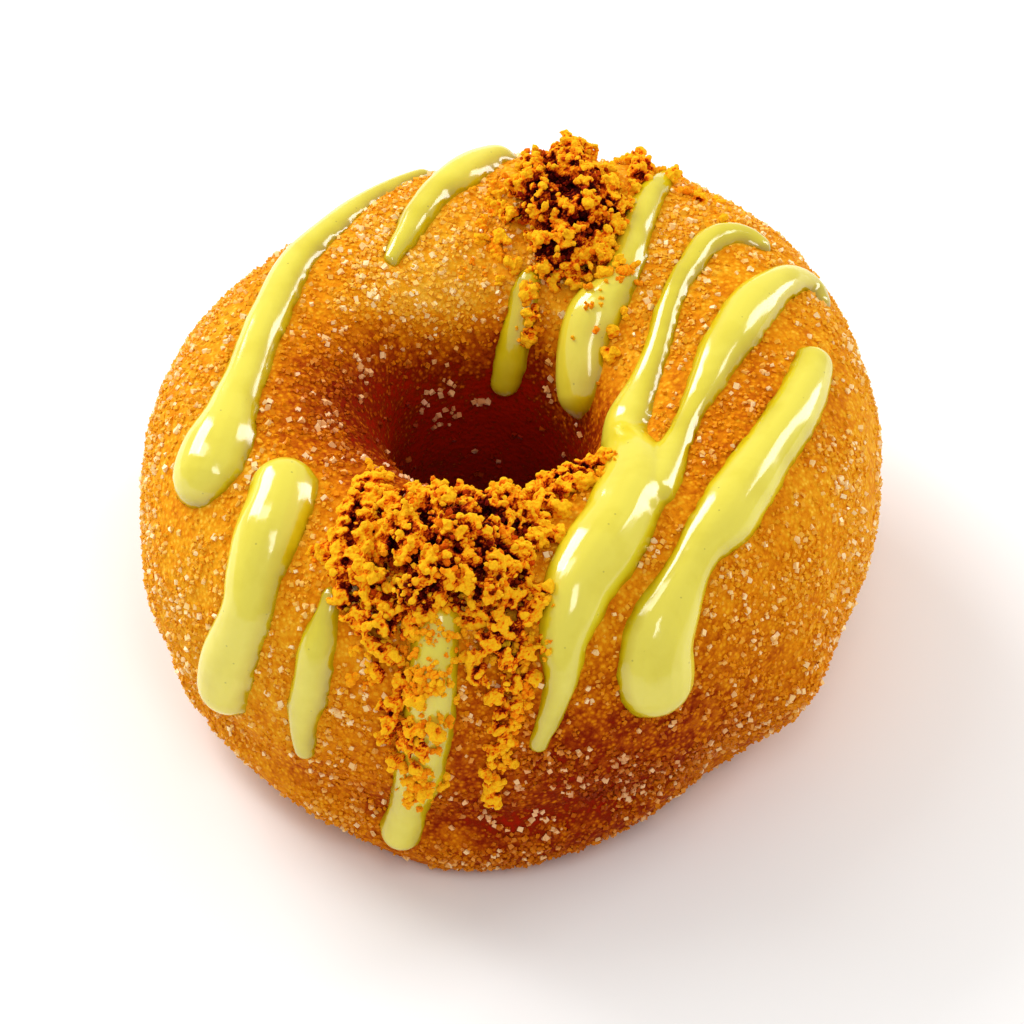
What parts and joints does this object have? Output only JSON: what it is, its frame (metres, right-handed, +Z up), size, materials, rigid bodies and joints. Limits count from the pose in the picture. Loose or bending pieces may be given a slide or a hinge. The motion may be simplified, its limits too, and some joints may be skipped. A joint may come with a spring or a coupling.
{
  "type": "loaded doughnut",
  "caption": "Ring doughnut rolled in granulated sugar, striped with thick pale green sauce and loaded with heaps of orange-brown biscuit crumb.",
  "frame": {"origin": "on the surface the doughnut lies on, under the middle of the object's box", "axes": "+Z up through the hole, towards the topped side; +X and +Y across the ring, with the loaded front at -Y"},
  "size_m": [0.0584, 0.0628, 0.0322],
  "materials": {
    "fried_crust": "golden-brown fried dough crusted with granulated sugar",
    "green_sauce": "thick glossy pale green sauce with fine dark specks",
    "biscuit_crumb": "dry crumbly orange-brown biscuit"
  },
  "bodies": {
    "root": {"doughnut": "fried_crust", "crumb_heap_back": "biscuit_crumb", "crumb_heap_front": "biscuit_crumb", "sauce_back": "green_sauce", "sauce_fork": "green_sauce", "sauce_front": "green_sauce", "sauce_front_left": "green_sauce", "sauce_hole_left": "green_sauce", "sauce_hole_right": "green_sauce", "sauce_long_left": "green_sauce", "sauce_long_right": "green_sauce", "sauce_low_left": "green_sauce"}
  },
  "joints": []
}
